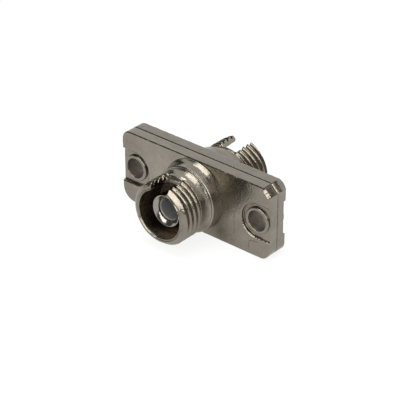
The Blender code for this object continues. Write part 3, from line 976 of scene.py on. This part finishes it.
def metal(name, dark, light, rough, rough_spread, relief, inside_tone, inside_rough, inside_spread,
          painted_light_and_shade=(), inside_painted_light_and_shade=(), grain=(), dull=()):
    """Plated metal: patchy tone and gloss, speckle, painted light and shade, soft waves and grain;
    dull where it is inside.
    """
    material, tree, shader = nodes_for(name)
    link = tree.links.new
    place = add(tree, "ShaderNodeTexCoord").outputs["Object"]
    inside = add(tree, "ShaderNodeAttribute", attribute_name="inside").outputs["Fac"]
    colour = plating(tree, place, dark, light, painted_light_and_shade)
    # the inside colour, with its painted light and shade
    casting = inside_colour_and_painted_light(tree, place, inside_tone, inside_spread, inside_painted_light_and_shade)
    link(blend_colour(tree, inside, colour, casting), shader.inputs["Base Color"])
    gloss = remap(tree, noise(tree, place, *GLOSS), *GLOSS_RANGE, rough - rough_spread,
                  rough + rough_spread)
    for centre, radii in dull:
        area = remap(tree, area_mask(tree, place, centre, radii), 0.0, 0.5, 0.0, 1.0)
        gloss = blend_number(tree, area, gloss, DULL_ROUGH)
    link(blend_number(tree, inside, gloss, inside_rough), shader.inputs["Roughness"])
    layers = [(noise(tree, place, waves, 2.0), height * relief, 1.0) for waves, height in BUMP_LAYERS]
    layers += [(noise(tree, place, *GRAIN), GRAIN_RELIEF, area_mask(tree, place, centre, radii))
               for centre, radii in grain]
    link(bumps(tree, layers), shader.inputs["Normal"])
    shader.inputs["Metallic"].default_value = 1.0
    return material


def ceramic(name):
    """Ground grey ceramic with faint grinding marks along the bore; its grey is darkened further as
    painted shade, for the sleeve deep in the housing's bore.
    """
    material, tree, shader = nodes_for(name)
    place = add(tree, "ShaderNodeTexCoord").outputs["Object"]
    marks = add(tree, "ShaderNodeMapping", {"Vector": place, "Scale": GRINDING})
    tone = ramp(tree, noise(tree, marks.outputs["Vector"], 1.0, 2.0), CERAMIC_TONES_AND_PAINTED_SHADE)
    tree.links.new(tone, shader.inputs["Base Color"])
    shader.inputs["Roughness"].default_value = CERAMIC_ROUGH
    return material


def dress(item, material, node):
    """Give a piece its material, attach it to the root, and hide the CAD part that it takes the place
    of.
    """
    item.data.materials.clear()
    item.data.materials.append(material)
    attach(item, "root")
    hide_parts(node)


# Camera, lamps, screens, world and floor

def direction_to(azimuth, elevation):
    """The unit vector from the object towards the given angles, 0 azimuth being in front."""
    a, e = radians(azimuth), radians(elevation)
    return Vector((sin(a) * cos(e), -cos(a) * cos(e), sin(e)))


def make_camera():
    """The camera of the reference view."""
    back = direction_to(AZIMUTH, ELEVATION)
    side = Vector((cos(radians(AZIMUTH)), sin(radians(AZIMUTH)), 0))
    up = back.cross(side)
    roll = radians(ROLL)
    right = side * cos(roll) + up * sin(roll)
    top = up * cos(roll) - side * sin(roll)
    data = bpy.data.cameras.new("camera")
    data.sensor_width = SENSOR
    data.lens = FOCAL_PIXELS * SENSOR / PICTURE
    data.clip_start = CLIP_NEAR
    data.clip_end = CLIP_FAR
    camera = bpy.data.objects.new("camera", data)
    bpy.context.scene.collection.objects.link(camera)
    place = (back * DISTANCE - right * OFFSET_RIGHT - top * OFFSET_UP) * MM
    turn = Matrix((right, top, back)).transposed().to_4x4()
    camera.matrix_world = Matrix.Translation(place) @ turn
    bpy.context.scene.camera = camera


def softbox(name, azimuth, elevation, distance, width, height, radiance):
    """An area lamp that faces the object; radiance is how bright it looks."""
    direction = direction_to(azimuth, elevation)
    data = bpy.data.lights.new(name, "AREA")
    data.shape = "RECTANGLE"
    data.size = width * MM
    data.size_y = height * MM
    data.energy = radiance * pi * width * height * MM * MM
    data.color = LAMP_COLOUR
    lamp = bpy.data.objects.new(name, data)
    bpy.context.scene.collection.objects.link(lamp)
    lamp.location = direction * distance * MM
    lamp.rotation_euler = direction.to_track_quat("Z", "Y").to_euler()


def screen(name, azimuth, half_width, low, high, distance, tone):
    """A dark curved studio screen, which shows only in the metal's reflections."""
    elevations = np.linspace(low, high, SCREEN_ROWS)
    azimuths = np.linspace(azimuth - half_width, azimuth + half_width, SCREEN_COLUMNS)
    points = [direction_to(a, e) * distance - Vector((0, 0, FLANGE_HEIGHT / 2))
              for e in elevations for a in azimuths]
    count = len(azimuths)
    faces = [(i * count + j, i * count + j + 1, (i + 1) * count + j + 1, (i + 1) * count + j)
             for i in range(len(elevations) - 1) for j in range(count - 1)]
    item = new_object(name, points, faces)
    material, tree, shader = nodes_for(name)
    tree.nodes.remove(shader)
    colour = (*(tone * c for c in SCREEN_TINT), 1)
    glow = add(tree, "ShaderNodeEmission", {"Color": colour})
    tree.links.new(glow.outputs[0], tree.nodes["Material Output"].inputs["Surface"])
    item.data.materials.append(material)
    item.visible_camera = False
    item.visible_diffuse = False
    item.visible_shadow = False


def seen_factor(tree):
    """1 for rays that see the background: camera, glossy and transmission rays."""
    path = add(tree, "ShaderNodeLightPath").outputs
    seen = path["Is Camera Ray"]
    for kind in ("Is Glossy Ray", "Is Transmission Ray"):
        seen = add(tree, "ShaderNodeMath", {0: seen, 1: path[kind]}, operation="MAXIMUM").outputs[0]
    return seen


def make_world():
    """A world that lights the object plainly and looks white."""
    world = bpy.data.worlds.new("studio")
    bpy.context.scene.world = world
    world.use_nodes = True
    tree = world.node_tree
    tree.nodes.clear()
    white = (1, 1, 1, 1)
    light = add(tree, "ShaderNodeBackground", {"Color": white, "Strength": WORLD_LIGHT})
    shown = add(tree, "ShaderNodeBackground", {"Color": white, "Strength": 1.0})
    mix = add(tree, "ShaderNodeMixShader",
              {0: seen_factor(tree), 1: light.outputs[0], 2: shown.outputs[0]})
    add(tree, "ShaderNodeOutputWorld", {"Surface": mix.outputs[0]})


def make_floor():
    """A floor that looks nearly white and keeps the object's shadow."""
    z = -FLANGE_HEIGHT / 2 - FLOOR_GAP
    corners = [(x * FLOOR_HALF, y * FLOOR_HALF, z) for x, y in ((-1, -1), (1, -1), (1, 1), (-1, 1))]
    floor = new_object("floor", corners, [(0, 1, 2, 3)])
    material, tree, shader = nodes_for("floor_white")
    tree.nodes.remove(shader)
    diffuse = add(tree, "ShaderNodeBsdfDiffuse", {"Color": (FLOOR_TONE, FLOOR_TONE, FLOOR_TONE, 1)})
    glow = add(tree, "ShaderNodeEmission", {"Color": (1, 1, 1, 1), "Strength": 1.0})
    share = add(tree, "ShaderNodeMath", {0: seen_factor(tree), 1: FLOOR_WHITE_SHARE},
                operation="MULTIPLY")
    mix = add(tree, "ShaderNodeMixShader",
              {0: share.outputs[0], 1: diffuse.outputs[0], 2: glow.outputs[0]})
    tree.links.new(mix.outputs[0], tree.nodes["Material Output"].inputs["Surface"])
    floor.data.materials.append(material)


# The pieces

# The cast halves carry painted light and shade on the plate, on the barrel and in the bore
nickel = metal("nickel_plate", dark=(0.209, 0.189, 0.157), light=(0.263, 0.240, 0.203),
               rough=0.17, rough_spread=0.05, relief=1.0,
               inside_tone=(0.150, 0.124, 0.094), inside_rough=0.42, inside_spread=0.55,
               painted_light_and_shade=PAINTED_LIGHT_AND_SHADE, inside_painted_light_and_shade=BORE_PAINTED_LIGHT_AND_SHADE, grain=CAST_GRAIN, dull=DULL)
bright = metal("bright_nickel", dark=(0.27, 0.25, 0.23), light=(0.34, 0.315, 0.29),
               rough=0.15, rough_spread=0.04, relief=0.25,
               inside_tone=(0.27, 0.25, 0.23), inside_rough=0.2, inside_spread=0.2)
rivet_nickel = metal("rivet_nickel", dark=(0.215, 0.196, 0.165), light=(0.27, 0.248, 0.212),
                     rough=0.22, rough_spread=0.05, relief=0.4,
                     inside_tone=(0.215, 0.190, 0.160), inside_rough=0.60, inside_spread=0.22)
zirconia = ceramic("zirconia")

dress(make_housing("front_shell", False, 3), nickel, "front_housing")
dress(make_housing("rear_shell", True, 7), nickel, "rear_housing")
dress(make_holder("front_holder", False), bright, "front_sleeve_holder")
dress(make_holder("rear_holder", True), bright, "rear_sleeve_holder")
dress(make_sleeve(), zirconia, "alignment_sleeve")
dress(make_rivet("rivet_left", -1), rivet_nickel, "left_rivet")
dress(make_rivet("rivet_right", 1), rivet_nickel, "right_rivet")

# The studio

make_camera()
make_world()
make_floor()
softbox("overhead", azimuth=0, elevation=90, distance=150, width=124, height=124, radiance=3.4)
softbox("front_key", azimuth=-6, elevation=30.5, distance=190, width=148, height=84, radiance=3.9)
softbox("camera_side", azimuth=39, elevation=23, distance=265, width=196, height=122, radiance=3.5)
screen("front_screen", azimuth=0, half_width=88, low=0, high=62, distance=420, tone=0.13)
screen("side_screen", azimuth=142, half_width=9, low=12, high=44, distance=300, tone=0.22)
bpy.context.scene.view_settings.view_transform = "Standard"
